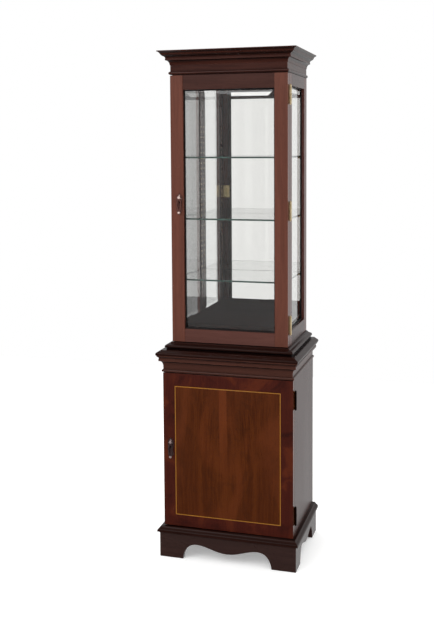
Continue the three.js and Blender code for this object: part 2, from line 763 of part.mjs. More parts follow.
function buildPlinth() {
  const half = lowerHalf + plinthOverhang;
  const front = lowerFront - plinthOverhang;
  const top = plinthHeight - gap;
  const inner = front + plinthThickness;
  const end = half - gap / 2;
  const face = prismY(apronOutline(end, footLength, top, archRise, apronDrop), [front, inner]);
  const atBack = (x, y) => y > inner - 1;
  mitred(face, 0, atBack, (x) => x > end - 1, -1);
  mitred(face, 0, atBack, (x) => x < 1 - end, 1);
  piece(cupboard, 'plinth_front', face, 'mahogany');

  const depth = back - front - gap / 2;
  const side = prismX(apronOutline(depth / 2, sideFootLength, top, archRise, apronDrop + 3),
    [half - plinthThickness, half]).translate(0, back - depth / 2, 0);
  mitred(side, 1, (x) => x < half - 1, (x, y) => y < front + 1, 1);
  const right = toGeometry(toSolid(side));
  piece(cupboard, 'plinth_right', right, 'mahogany');
  piece(cupboard, 'plinth_left', mirrored(right), 'mahogany');

  const inside = half - plinthThickness - gap;
  const rail = apronOutline(inside, footLength, top, archRise, archRise);
  piece(cupboard, 'plinth_back', prismY(rail, [back - plinthThickness, back]), 'mahogany');
}

// ---------------------------------------------------------------- cupboard door
function buildLowerDoor() {
  const slab = block([-lowerHalf, lowerHalf], [lowerFront, lowerDoorBack],
    [lowerDoorBottom, lowerDoorTop]);
  const ring = (play, depth) => {
    const outer = lowerHalf - inlaySide;
    const bottom = lowerDoorBottom + inlayBottom;
    const top = lowerDoorTop - inlayTop;
    const frame = (grow, y) => block([-outer - grow, outer + grow], y,
      [bottom - grow, top + grow]);
    return cut(frame(play, [lowerFront - 1, lowerFront + depth]),
      frame(-inlayWidth - play, [lowerFront - 2, lowerFront + depth + 1]));
  };
  const recesses = lowerHingeHeights.map((z) => hingeRecess(-1, lowerAxis, z));
  piece(lowerDoor, 'cupboard_door', cut(slab, ring(inlayPlay, inlayDepth), ...recesses,
    keyHole(lowerHalf, lowerFront, lowerKeyFromEdge, lowerLock.key)), 'veneer');
  const inlay = common(ring(0, inlayDepth - inlayPlay), slab.clone().translate(0, inlaySink, 0));
  piece(lowerDoor, 'door_inlay', inlay, 'boxwood');

  piece(lowerDoor, 'lower_lock_case', lockCase(lowerLock), 'brass');
  piece(lowerDoor, 'lower_lock_bolt', lockBolt(lowerLock), 'brass');
  addHandle('lower', lowerDoor, lowerHalf, lowerFront, lowerKeyFromEdge, lowerPivotHeight);
  addHinges('lower', cupboard, lowerDoor, lowerAxis, lowerHingeHeights);
}

buildDisplayCase();
buildUpperDoor();
buildCupboard();
buildPlinth();
buildLowerDoor();

export default cabinet;
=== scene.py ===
# China cabinet: materials, fine detail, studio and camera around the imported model. Metres, +Z up.
import math
import bmesh
import bpy
from mathutils import Matrix, Vector


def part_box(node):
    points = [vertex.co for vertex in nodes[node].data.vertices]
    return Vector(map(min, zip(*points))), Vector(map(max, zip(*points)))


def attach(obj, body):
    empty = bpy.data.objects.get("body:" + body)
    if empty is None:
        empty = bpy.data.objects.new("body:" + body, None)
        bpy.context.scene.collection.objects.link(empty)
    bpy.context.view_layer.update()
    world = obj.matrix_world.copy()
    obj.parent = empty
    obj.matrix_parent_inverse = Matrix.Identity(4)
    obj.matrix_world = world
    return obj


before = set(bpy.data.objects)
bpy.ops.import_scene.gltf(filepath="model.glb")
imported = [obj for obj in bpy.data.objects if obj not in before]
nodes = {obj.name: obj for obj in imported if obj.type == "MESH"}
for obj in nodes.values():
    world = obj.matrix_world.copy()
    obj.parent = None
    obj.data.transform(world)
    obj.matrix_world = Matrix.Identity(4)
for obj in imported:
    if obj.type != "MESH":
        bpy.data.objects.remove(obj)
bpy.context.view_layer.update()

scene = bpy.context.scene
MM = 0.001


# ---------------------------------------------------------------- node-tree helpers
class Tree:
    """A material's or world's node tree with short calls for the nodes used here."""

    def __init__(self, owner):
        owner.use_nodes = True
        self.tree = owner.node_tree
        self.tree.nodes.clear()

    def node(self, kind, **values):
        made = self.tree.nodes.new(kind)
        for key, value in values.items():
            setattr(made, key, value)
        return made

    def link(self, source, target):
        self.tree.links.new(source, target)

    def feed(self, socket, value):
        if isinstance(value, bpy.types.NodeSocket):
            self.link(value, socket)
        elif value is not None:
            socket.default_value = value

    def math(self, operation, a, b=None):
        made = self.node("ShaderNodeMath", operation=operation)
        for socket, value in zip(made.inputs, (a, b)):
            self.feed(socket, value)
        return made.outputs[0]

    def mix(self, factor, a, b):
        made = self.node("ShaderNodeMix", data_type="RGBA")
        self.feed(made.inputs[0], factor)
        self.feed(made.inputs[6], a if isinstance(a, bpy.types.NodeSocket) else (*a, 1))
        self.feed(made.inputs[7], b if isinstance(b, bpy.types.NodeSocket) else (*b, 1))
        return made.outputs[2]

    def smooth(self, value, low, high, to_low=0.0, to_high=1.0):
        """Eases from to_low, where value is low or less, to to_high, where it is high or more."""
        made = self.node("ShaderNodeMapRange", interpolation_type="SMOOTHSTEP")
        for socket, given in zip(made.inputs, (value, low, high, to_low, to_high)):
            self.feed(socket, given)
        return made.outputs[0]

    def noise(self, vector, scale, detail=3.0, rough=0.55, warp=0.0):
        made = self.node("ShaderNodeTexNoise")
        self.feed(made.inputs["Vector"], vector)
        for name, value in (("Scale", scale), ("Detail", detail), ("Roughness", rough),
                            ("Distortion", warp)):
            made.inputs[name].default_value = value
        return made.outputs["Fac"]

    def stretch(self, vector, scale, offset=(0, 0, 0)):
        made = self.node("ShaderNodeMapping")
        self.feed(made.inputs["Vector"], vector)
        made.inputs["Scale"].default_value = scale
        made.inputs["Location"].default_value = offset
        return made.outputs[0]

    def bump(self, height, strength, distance, normal=None):
        made = self.node("ShaderNodeBump")
        made.inputs["Strength"].default_value = strength
        made.inputs["Distance"].default_value = distance
        self.feed(made.inputs["Height"], height)
        self.feed(made.inputs["Normal"], normal)
        return made.outputs[0]

    def principled(self, normal=None, **values):
        made = self.node("ShaderNodeBsdfPrincipled")
        for key, value in values.items():
            socket = made.inputs[key.replace("_", " ")]
            if isinstance(value, tuple) and len(value) == 3:
                value = (*value, 1)
            self.feed(socket, value)
        self.feed(made.inputs["Normal"], normal)
        output = self.node("ShaderNodeOutputMaterial")
        self.link(made.outputs[0], output.inputs[0])

    def place(self):
        """Where the shaded point lies on its object, in metres."""
        return self.node("ShaderNodeTexCoord").outputs["Object"]

    def split(self, vector):
        parts = self.node("ShaderNodeSeparateXYZ")
        self.link(vector, parts.inputs[0])
        return parts.outputs


# ---------------------------------------------------------------- wood
AXES = {"x": 0, "y": 1, "z": 2}

# How closely each layer of figure is spaced, per metre across the grain.
SWAY_SCALE = 3.2
PATCH_SCALE = 5.5
RING_SCALE = 62.0
STREAK_SCALE = 310.0
PORE_SCALE = 1150.0
SWAY_REACH = 0.09
PORE_RELIEF = 0.05 * MM
STREAK_RELIEF = 0.06 * MM
ARRIS_RADIUS = 1.1 * MM
PAINTED_SHADE_REACH = 18 * MM
LACQUER_IOR = 1.45


def grain_layers(t, place, grain, seed):
    """Noise layers of one board: sway, growth rings, fine streaks, broad patches and pores."""
    def along(ratio):
        return tuple(ratio if i == AXES[grain] else 1.0 for i in range(3))

    shift = (seed * 1.7, seed * 0.9, seed * 2.3)
    sway = t.noise(t.stretch(place, along(0.35), shift), SWAY_SCALE, 2.0)
    swayed = t.node("ShaderNodeVectorMath", operation="MULTIPLY_ADD")
    t.link(sway, swayed.inputs[0])
    swayed.inputs[1].default_value = tuple(0.0 if i == AXES[grain] else SWAY_REACH
                                           for i in range(3))
    t.link(t.stretch(place, (1, 1, 1), shift), swayed.inputs[2])
    warped = swayed.outputs[0]
    rings = t.noise(t.stretch(warped, along(0.035)), RING_SCALE, 4.0, 0.6, 0.25)
    fine = t.noise(t.stretch(warped, along(0.02)), STREAK_SCALE, 3.0, 0.6)
    patch = t.noise(t.stretch(warped, along(0.3)), PATCH_SCALE, 2.0, 0.5, 0.6)
    pores = t.noise(t.stretch(warped, along(0.03)), PORE_SCALE, 2.0, 0.5)
    return sway, rings, fine, patch, t.smooth(pores, 0.6, 0.72)


def grain_colour(t, rings, fine, patch, dark, mid, light, figure):
    """Streaks from dark to light, calmed towards mid in patches. A low figure is quieter."""
    streak = t.math("ADD", t.math("MULTIPLY", rings, 0.65), t.math("MULTIPLY", fine, 0.35))
    spread = 0.16 / figure
    colour = t.mix(t.smooth(streak, 0.5 - spread, 0.5 + spread), dark, light)
    return t.mix(t.smooth(patch, 0.32, 0.68, 0.25, 0.75), colour, mid)


def edge_mask(t, radius):
    """1 along the arrises of a piece, 0 on its flats."""
    bevel = t.node("ShaderNodeBevel", samples=4)
    bevel.inputs["Radius"].default_value = radius
    facing = t.node("ShaderNodeVectorMath", operation="DOT_PRODUCT")
    t.link(bevel.outputs[0], facing.inputs[0])
    t.link(t.node("ShaderNodeNewGeometry").outputs["Normal"], facing.inputs[1])
    return t.smooth(facing.outputs["Value"], 0.9, 0.99, 1.0, 0.0)


def painted_shade_mask(t, distance):
    """Painted shade: 1 deep in the quirks of a moulding and on its undersides, 0 in the open."""
    shut = t.node("ShaderNodeAmbientOcclusion", samples=8)
    shut.inputs["Distance"].default_value = distance
    facing_up = t.split(t.node("ShaderNodeNewGeometry").outputs["Normal"])[2]
    under = t.smooth(facing_up, -0.85, -0.15, 0.85, 0.0)
    return t.math("MAXIMUM", t.smooth(shut.outputs["AO"], 0.4, 0.92, 1.0, 0.0), under)


def lacquer(t, colour, fine, patch, pore, dark, rough, shine):
    """A satin coat over the wood, with its pores darker and a little sunk."""
    colour = t.mix(t.math("MULTIPLY", pore, 0.55), colour, tuple(0.45 * c for c in dark))
    gloss = t.math("ADD", rough, t.math("MULTIPLY", t.math("SUBTRACT", patch, 0.5), 0.1))
    streaks = t.bump(fine, 0.25, STREAK_RELIEF)
    relief = t.bump(t.math("SUBTRACT", 1.0, pore), 0.3, PORE_RELIEF, streaks)
    t.principled(relief, Base_Color=colour, Roughness=gloss, IOR=LACQUER_IOR,
                 Specular_IOR_Level=shine)


def wood(name, grain, dark, mid, light, seed=0.0, rough=0.26, figure=1.0, shine=0.5, arris_highlight=0.35,
         painted_shade=0.0):
    """Lacquered wood with its grain along one axis, with a painted highlight lighter on its arrises
    and painted shade dark in its hollows and on its undersides."""
    material = bpy.data.materials.new(name)
    t = Tree(material)
    _, rings, fine, patch, pore = grain_layers(t, t.place(), grain, seed)
    colour = grain_colour(t, rings, fine, patch, dark, mid, light, figure)
    # Painted shade: darker in the hollows and on the undersides.
    if painted_shade:
        deep = tuple(0.22 * c for c in dark)
        colour = t.mix(t.math("MULTIPLY", painted_shade_mask(t, PAINTED_SHADE_REACH), painted_shade), colour, deep)
    # Painted highlight: lighter along the arrises.
    if arris_highlight:
        painted_highlight = tuple(min(1.0, 2.4 * c + 0.016) for c in light)
        colour = t.mix(t.math("MULTIPLY", edge_mask(t, ARRIS_RADIUS), arris_highlight), colour, painted_highlight)
    lacquer(t, colour, fine, patch, pore, dark, rough, shine)
    return material


STRIPE_FROM_MIDDLE = 14.5 * MM
STRIPE_HALF_WIDTH = 14 * MM
STRIPE_FADE = 1.5 * MM
STRIPE_WANDER = 12 * MM


def door_veneer(name, inlay_low, inlay_high):
    """The cupboard door: a golden book-matched field inside the stringing, with a redder stripe
    beside its seam, and a darker, cloudy crossband outside it."""
    material = bpy.data.materials.new(name)
    t = Tree(material)
    place = t.place()
    x, y, z = t.split(place)
    folded = t.node("ShaderNodeCombineXYZ")
    t.link(t.math("ABSOLUTE", x), folded.inputs[0])
    t.link(y, folded.inputs[1])
    t.link(z, folded.inputs[2])
    sway, rings, fine, patch, pore = grain_layers(t, folded.outputs[0], "z", 8.4)
    field = grain_colour(t, rings, fine, patch, (0.036, 0.007, 0.0009), (0.056, 0.0115, 0.0015),
                         (0.08, 0.0185, 0.0028), 1.1)
    flame_place = t.stretch(folded.outputs[0], (1.0, 1.0, 0.33), (0.3, 0.0, 0.21))
    flame = t.noise(flame_place, 19.0, 3.0, 0.6, 2.2)
    field = t.mix(t.smooth(flame, 0.5, 0.62, 0.0, 0.32), field, (0.032, 0.0075, 0.0015))
    cloud = t.noise(t.stretch(place, (1.0, 1.0, 0.5), (4.1, 0.0, 2.2)), 6.0, 2.0, 0.5, 0.8)
    field = t.mix(t.smooth(cloud, 0.5, 0.7, 0.0, 0.55), field, (0.096, 0.0205, 0.004))
    wander = t.math("MULTIPLY", t.math("SUBTRACT", sway, 0.5), STRIPE_WANDER)
    off_seam = t.math("ABSOLUTE", t.math("ADD", t.math("ADD", x, wander), STRIPE_FROM_MIDDLE))
    high = t.smooth(z, 0.3, 0.52, 0.1, 0.5)
    stripe = t.smooth(off_seam, STRIPE_HALF_WIDTH - STRIPE_FADE, STRIPE_HALF_WIDTH + STRIPE_FADE,
                      1.0, 0.0)
    stripe = t.math("MULTIPLY", stripe, high)
    field = t.mix(stripe, field, (0.122, 0.027, 0.006))

    band_cloud = t.noise(t.stretch(place, (1.0, 1.0, 1.0), (1.3, 0.0, 7.7)), 9.0, 3.0, 0.55, 1.0)
    band = grain_colour(t, rings, fine, patch, (0.03, 0.0045, 0.003), (0.042, 0.0065, 0.0034),
                        (0.058, 0.0105, 0.0045), 0.8)
    band = t.mix(t.smooth(band_cloud, 0.5, 0.66, 0.0, 0.5), band, (0.095, 0.018, 0.0045))
    band = t.mix(t.smooth(band_cloud, 0.3, 0.46, 0.6, 0.0), band, (0.013, 0.0028, 0.0025))

    middle = 0.5 * (inlay_low.z + inlay_high.z)
    across = t.math("SUBTRACT", t.math("ABSOLUTE", x), inlay_high.x)
    from_middle = t.math("ABSOLUTE", t.math("SUBTRACT", z, middle))
    upright = t.math("SUBTRACT", from_middle, inlay_high.z - middle)
    outside = t.smooth(t.math("MAXIMUM", across, upright), -1.8 * MM, -0.8 * MM)
    face = t.smooth(y, inlay_high.y + MM, inlay_high.y + 2 * MM, 1.0, 0.0)
    colour = t.mix(t.math("MULTIPLY", outside, face), field, band)
    lacquer(t, colour, fine, patch, pore, (0.03, 0.006, 0.003), 0.2, 0.4)
    return material


def dull_board(name, tone, grain="z"):
    """Stained wood or rubber with no polish."""
    material = bpy.data.materials.new(name)
    t = Tree(material)
    place = t.place()
    along = tuple(0.04 if i == AXES[grain] else 1.0 for i in range(3))
    streak = t.noise(t.stretch(place, along), 90.0, 4.0)
    patch = t.noise(place, 4.0, 3.0)
    dark = tuple(0.7 * c for c in tone)
    light = tuple(min(1.0, 1.2 * c) for c in tone)
    colour = t.mix(t.smooth(streak, 0.38, 0.62), dark, light)
    colour = t.mix(t.smooth(patch, 0.35, 0.7, 0.0, 0.35), colour, dark)
    t.principled(t.bump(streak, 0.4, 0.1 * MM), Base_Color=colour, Roughness=0.62)
    return material


# ---------------------------------------------------------------- metal and glass
METAL_ARRIS_RADIUS = 0.6 * MM
METAL_RELIEF = 0.03 * MM


def metal(name, base, shade, rough, arris_highlight=0.0, solid=1.0, painted_highlight=None):
    """Cast or rolled metal, clouded from base to shade, its arrises lightened as a painted
    highlight when asked. solid is its metallic share, and the last argument paints a highlight on
    chosen places."""
    material = bpy.data.materials.new(name)
    t = Tree(material)
    place = t.place()
    cloud = t.noise(place, 160.0, 4.0, 0.6)
    speck = t.noise(place, 1400.0, 2.0)
    colour = t.mix(t.smooth(cloud, 0.35, 0.68), base, shade)
    roughness = t.smooth(speck, 0.3, 0.7, rough * 0.8, rough * 1.3)
    bright = tuple(min(1.0, 1.9 * c + 0.08) for c in base)
    # Painted highlight: lighter along the arrises.
    if arris_highlight:
        colour = t.mix(t.math("MULTIPLY", edge_mask(t, METAL_ARRIS_RADIUS), arris_highlight), colour, bright)
    metallic = solid
    if painted_highlight is not None:
        colour, metallic = painted_highlight(t, colour)
    t.principled(t.bump(speck, 0.2, METAL_RELIEF), Base_Color=colour, Metallic=metallic,
                 Roughness=roughness)
    return material


PIVOT_BELOW_TOP = 15 * MM
HEAD_ABOVE_PIVOT = 9.5 * MM
HEAD_LENGTH = 15 * MM
KNOB_BELOW_PIVOT = 52 * MM


def handle_highlight(prefix, shine):
    """A painted highlight on a handle: its pointed head round the pivot, and its knob."""
    low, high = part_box(f"{prefix}_handle_plate")
    centre = 0.5 * (low.x + high.x)
    pivot = high.z - PIVOT_BELOW_TOP

    def mask(t, colour):
        x, y, z = t.split(t.place())
        below_tip = t.math("SUBTRACT", pivot + HEAD_ABOVE_PIVOT, z)
        aside = t.math("ABSOLUTE", t.math("SUBTRACT", x, centre))
        room = t.math("SUBTRACT", t.math("MULTIPLY", below_tip, 0.5), aside)
        head = t.math("MULTIPLY", t.smooth(room, -0.5 * MM, 0.5 * MM),
                      t.smooth(below_tip, HEAD_LENGTH - 0.5 * MM, HEAD_LENGTH + 0.5 * MM, 1.0, 0.0))
        knob_top = pivot - KNOB_BELOW_PIVOT
        knob = t.smooth(z, knob_top - MM, knob_top + MM, 1.0, 0.0)
        near = t.smooth(y, low.y + 6.2 * MM, low.y + 6.7 * MM, 1.0, 0.0)
        bright = t.math("MAXIMUM", head, t.math("MULTIPLY", knob, near))
        return t.mix(bright, colour, shine), 0.4
    return mask


GLASS_ROUGHNESS = 0.006
GLASS_IOR = 1.5


def glass(name, face, edge, axis, cloudy=0.0):
    """Clear on its broad faces and coloured, and a little cloudy, through its polished edges."""
    material = bpy.data.materials.new(name)
    t = Tree(material)
    facing = t.split(t.node("ShaderNodeNewGeometry").outputs["True Normal"])
    flat = t.math("ABSOLUTE", facing[AXES[axis]])
    broad = t.smooth(flat, 0.3, 0.8)
    clear = t.smooth(flat, 0.3, 0.8, 1.0 - cloudy, 1.0) if cloudy else 1.0
    t.principled(None, Base_Color=t.mix(broad, edge, face), Roughness=GLASS_ROUGHNESS,
                 IOR=GLASS_IOR, Transmission_Weight=clear)
    return material


def mirror_silver():
    """Silvering with a faint haze."""
    material = bpy.data.materials.new("mirror_silver")
    t = Tree(material)
    haze = t.smooth(t.noise(t.place(), 6.0, 3.0), 0.4, 0.75, 0.0, 0.3)
    colour = t.mix(haze, (0.88, 0.88, 0.87), (0.85, 0.855, 0.845))
    t.principled(None, Base_Color=colour, Metallic=1.0, Roughness=0.0)
    return material


def tones(dark, mid, light):
    return {"dark": dark, "mid": mid, "light": light}


STILE = tones((0.07, 0.021, 0.0125), (0.1, 0.0305, 0.0188), (0.136, 0.0425, 0.026))
TOP_RAIL = tones((0.032, 0.011, 0.008), (0.043, 0.0155, 0.0115), (0.055, 0.02, 0.015))
LOW_RAIL = tones((0.066, 0.0225, 0.0165), (0.086, 0.03, 0.0225), (0.107, 0.0385, 0.029))
CORNICE = tones((0.023, 0.005, 0.0028), (0.035, 0.008, 0.0045), (0.05, 0.0125, 0.007))
BASE = tones((0.0105, 0.0024, 0.0013), (0.0155, 0.004, 0.0023), (0.023, 0.0063, 0.004))
WAIST = tones((0.036, 0.0115, 0.0072), (0.048, 0.0158, 0.0102), (0.062, 0.021, 0.0138))
PLINTH = tones((0.021, 0.0092, 0.0075), (0.029, 0.0128, 0.0105), (0.038, 0.0172, 0.0142))
POST = tones((0.056, 0.016, 0.012), (0.078, 0.023, 0.0175), (0.102, 0.031, 0.024))
CARCASS = tones((0.03, 0.0115, 0.0098), (0.042, 0.0165, 0.014), (0.055, 0.022, 0.0185))

# Lighter arrises on these woods are a painted highlight.
mat_stile = wood("mahogany_stile", "z", **STILE, seed=0.3, figure=0.8)
mat_rail = wood("mahogany_top_rail", "x", **TOP_RAIL, seed=1.1, figure=0.8, shine=0.35)
mat_low_rail = wood("mahogany_bottom_rail", "x", **LOW_RAIL, seed=1.5, figure=0.8)
# Mouldings are darkened with painted shade in their hollows and on their undersides.
moulded = {"arris_highlight": 0.6, "painted_shade": 1.0}
mat_cornice_x = wood("mahogany_cornice_front", "x", **CORNICE, **moulded, seed=2.0, shine=0.3)
mat_cornice_y = wood("mahogany_cornice_side", "y", **CORNICE, **moulded, seed=2.6, shine=0.2)
mat_waist_x = wood("mahogany_waist_front", "x", **WAIST, **moulded, seed=3.1, shine=0.3)
mat_waist_y = wood("mahogany_waist_side", "y", **WAIST, **moulded, seed=3.7, shine=0.3)
# The base boards are darkened with painted shade in their hollows and on their undersides too.
mat_base = wood("mahogany_base", "x", **BASE, seed=4.4, shine=0.15, arris_highlight=0.5, painted_shade=1.0)
mat_post = wood("mahogany_post", "z", **POST, seed=5.2, figure=0.8, shine=0.55, arris_highlight=0.1)
mat_side_rail = wood("mahogany_side_rail", "y", **CARCASS, seed=5.9, figure=0.8, shine=0.35)
mat_plinth_x = wood("mahogany_plinth_front", "x", **PLINTH, seed=6.3, figure=0.8)
mat_plinth_y = wood("mahogany_plinth_side", "y", **PLINTH, seed=6.8, figure=0.8)
mat_side = wood("side_panel_veneer", "z", **CARCASS, seed=7.5, shine=0.25)
mat_inside = wood("mahogany_inside", "x", **BASE, seed=7.9, rough=0.42, shine=0.0, arris_highlight=0.0)
mat_panel = door_veneer("door_veneer", *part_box("door_inlay"))
mat_board = dull_board("stained_board", (0.08, 0.035, 0.02))
mat_top_board = dull_board("top_board", (0.07, 0.032, 0.02), "x")
mat_shelf_board = dull_board("cupboard_shelf_board", (0.1, 0.045, 0.026), "x")
mat_inlay = wood("boxwood_inlay", "z", dark=(0.2, 0.075, 0.006), mid=(0.25, 0.1, 0.009),
                 light=(0.31, 0.13, 0.014), seed=9.0, figure=0.8, arris_highlight=0.0)
mat_brass = metal("polished_brass", (0.86, 0.7, 0.36), (0.7, 0.52, 0.24), 0.24, solid=0.75)
mat_hinge = metal("hinge_brass", (0.86, 0.7, 0.42), (0.6, 0.44, 0.22), 0.3, arris_highlight=0.4, solid=0.6)
# The lower hinges are a much darker copy of the hinge brass: painted shade.
mat_hinge_painted_shade = metal("hinge_brass_painted_shade", (0.05, 0.028, 0.02), (0.03, 0.018, 0.014), 0.34, arris_highlight=0.3)
# The handles carry a painted highlight on the pointed head round the pivot and on the knob. The
# lower handle is coloured darker and its painted highlight is dimmer.
mat_handles = {
    "upper": metal("upper_handle_bronze", (0.15, 0.052, 0.038), (0.085, 0.034, 0.027), 0.4, 0.3,
                   painted_highlight=handle_highlight("upper", (0.72, 0.55, 0.5))),
    "lower": metal("lower_handle_bronze", (0.07, 0.032, 0.03), (0.035, 0.018, 0.018), 0.4, 0.35,
                   painted_highlight=handle_highlight("lower", (0.36, 0.27, 0.26))),
}
mat_door_glass = glass("bevelled_glass", (0.985, 0.985, 0.975), (0.5, 0.62, 0.58), "y")
# The left pane's face is tinted darker than the right's: painted shade standing in for the light
# lost to reflection at a grazing angle.
mat_left_glass = glass("left_glass", (0.93, 0.94, 0.94), (0.45, 0.58, 0.55), "x")
mat_right_glass = glass("right_glass", (0.98, 0.98, 0.97), (0.45, 0.58, 0.55), "x")
mat_shelf_glass = glass("shelf_glass", (0.975, 0.985, 0.98), (0.012, 0.1, 0.07), "z", 0.55)
mat_seal = dull_board("glazing_seal", (0.006, 0.0045, 0.0045))
mat_mirror = mirror_silver()

by_node = {
    "cornice_front": mat_cornice_x, "cornice_left": mat_cornice_y, "cornice_right": mat_cornice_y,
    "top_board": mat_top_board, "upper_front_rail": mat_rail,
    "front_left_post": mat_post, "front_right_post": mat_post,
    "back_left_post": mat_post, "back_right_post": mat_post,
    "left_bottom_rail": mat_side_rail, "right_bottom_rail": mat_side_rail,
    "left_top_rail": mat_side_rail, "right_top_rail": mat_side_rail,
    "display_base": mat_base, "display_floor": mat_inside, "lower_top_board": mat_base,
    "base_board": mat_base,
    "waist_front": mat_waist_x, "waist_left": mat_waist_y, "waist_right": mat_waist_y,
    "door_left_stile": mat_stile, "door_right_stile": mat_stile,
    "door_top_rail": mat_rail, "door_bottom_rail": mat_low_rail,
    "left_side_panel": mat_side, "right_side_panel": mat_side,
    "cupboard_door": mat_panel, "door_inlay": mat_inlay,
    "upper_back_board": mat_board, "lower_back_board": mat_board,
    "cupboard_shelf": mat_shelf_board,
    "plinth_front": mat_plinth_x, "plinth_back": mat_plinth_x,
    "plinth_left": mat_plinth_y, "plinth_right": mat_plinth_y,
    "mirror": mat_mirror, "door_glass": mat_door_glass,
    "left_glass": mat_left_glass, "right_glass": mat_right_glass,
}
for name in nodes:
    if name.startswith("glass_shelf"):
        by_node[name] = mat_shelf_glass
    elif "hinge" in name:
        # Lower hinges take the darker copy of the brass, which is painted shade.
        by_node[name] = mat_hinge if name.startswith("upper") else mat_hinge_painted_shade
    elif "handle" in name:
        by_node[name] = mat_handles[name.split("_")[0]]
    elif "lock" in name:
        by_node[name] = mat_brass


# ---------------------------------------------------------------- shading of the carried-over parts
WELD_DISTANCE = 0.001 * MM
SMOOTH_BELOW = math.radians(32)
EASE_ABOVE = math.radians(35)
MOULDING_EASE = 0.35 * MM
BOARD_EASE = 0.7 * MM


def smooth_group(angle):
    """Geometry nodes that weld the triangles and shade smooth across shallow angles only."""
    group = bpy.data.node_groups.new("weld_and_smooth", "GeometryNodeTree")
    group.interface.new_socket("Geometry", in_out="INPUT", socket_type="NodeSocketGeometry")
    group.interface.new_socket("Geometry", in_out="OUTPUT", socket_type="NodeSocketGeometry")
    start = group.nodes.new("NodeGroupInput")
    end = group.nodes.new("NodeGroupOutput")
    weld = group.nodes.new("GeometryNodeMergeByDistance")
    weld.inputs["Distance"].default_value = WELD_DISTANCE
    faces = group.nodes.new("GeometryNodeSetShadeSmooth")
    faces.domain = "FACE"
    edges = group.nodes.new("GeometryNodeSetShadeSmooth")
    edges.domain = "EDGE"
    edges.inputs["Shade Smooth"].default_value = False
    fold = group.nodes.new("GeometryNodeInputMeshEdgeAngle")
    sharp = group.nodes.new("FunctionNodeCompare")
    sharp.operation = "GREATER_THAN"
    sharp.inputs[1].default_value = angle
    link = group.links.new
    link(start.outputs[0], weld.inputs["Geometry"])
    link(weld.outputs[0], faces.inputs["Geometry"])
    link(faces.outputs[0], edges.inputs["Geometry"])
    link(fold.outputs[0], sharp.inputs[0])
    link(sharp.outputs[0], edges.inputs["Selection"])
    link(edges.outputs[0], end.inputs[0])
    return group


weld_smooth = smooth_group(SMOOTH_BELOW)
eased = {"cornice_front", "cornice_left", "cornice_right", "waist_front", "waist_left",
         "waist_right", "display_base", "lower_top_board", "base_board", "plinth_front",
         "plinth_left", "plinth_right"}
boards = ("_post", "_stile", "_rail", "_panel", "_board")
square = {name for name in nodes if name.endswith(boards)}
square |= {"cupboard_door", "cupboard_shelf"}
for name, cad in nodes.items():
    cad.data.materials.clear()
    cad.data.materials.append(by_node[name])
    if name == "mirror" or "glass" in name:
        continue
    if cad.data.attributes.get("custom_normal"):
        cad.data.attributes.remove(cad.data.attributes["custom_normal"])
    smoother = cad.modifiers.new("smooth", "NODES")
    smoother.node_group = weld_smooth
    if name in eased or name in square:
        ease = cad.modifiers.new("eased_edges", "BEVEL")
        ease.width = MOULDING_EASE if name in eased else BOARD_EASE
        ease.segments = 2
        ease.limit_method = "ANGLE"
        ease.angle_limit = EASE_ABOVE
        ease.use_clamp_overlap = True
        ease.harden_normals = False


# ---------------------------------------------------------------- detail pieces
def add(name, mesh, material, body, smooth=True):
    """Puts a piece in the scene with its material, riding on a body."""
    piece = bpy.data.objects.new(name, mesh)
    scene.collection.objects.link(piece)
    mesh.materials.append(material)
    if smooth:
        for face in mesh.polygons:
            face.use_smooth = True
        mesh.set_sharp_from_angle(angle=EASE_ABOVE)
    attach(piece, body)
    return piece


def in_mm(*points):
    return [(a * MM, b * MM) for a, b in points]


def finish_mesh(bm, name):
    bmesh.ops.recalc_face_normals(bm, faces=bm.faces)
    mesh = bpy.data.meshes.new(name)
    bm.to_mesh(mesh)
    bm.free()
    return mesh


def frame_ring(name, section, u_range, v_range, place):
    """A mitred frame. section lists (inset, depth) points; inset grows from the outside of the
    frame towards its opening, and place turns (u, v, depth) into a point."""
    bm = bmesh.new()
    corners = [(u_range[0], v_range[0], 1, 1), (u_range[1], v_range[0], -1, 1),
               (u_range[1], v_range[1], -1, -1), (u_range[0], v_range[1], 1, -1)]
    loops = []
    for u, v, du, dv in corners:
        loops.append([bm.verts.new(place(u + du * inset, v + dv * inset, depth))
                      for inset, depth in section])
    count = len(section)
    for i in range(4):
        here, after = loops[i], loops[(i + 1) % 4]
        for j in range(count):
            k = (j + 1) % count
            bm.faces.new((here[j], here[k], after[k], after[j]))
    return finish_mesh(bm, name)


def bead_section(width, thickness, steps=6):
    """A glazing bead: flat on the glass, quarter-round towards the opening."""
    points = [(0.0, 0.0), (0.0, thickness)]
    radius = min(thickness, width) * 0.8
    for i in range(steps + 1):
        a = 0.5 * math.pi * i / steps
        points.append((width - radius + radius * math.sin(a),
                       thickness - radius + radius * math.cos(a)))
    points.append((width, 0.0))
    return points


def lathe(bm, profile, origin, axis, segments=20, closed=True):
    """Turns (distance along axis, radius) points about an axis."""
    turn = Vector((0, 0, 1)).rotation_difference(Vector(axis)).to_matrix()
    rings = []
    for along, radius in profile:
        ring = []
        for i in range(segments):
            a = 2 * math.pi * i / segments
            point = turn @ Vector((radius * math.cos(a), radius * math.sin(a), along))
            ring.append(bm.verts.new(Vector(origin) + point))
        rings.append(ring)
    for low, high in zip(rings, rings[1:]):
        for i in range(segments):
            j = (i + 1) % segments
            bm.faces.new((low[i], low[j], high[j], high[i]))
    if closed:
        bm.faces.new(list(reversed(rings[0])))
        bm.faces.new(rings[-1])


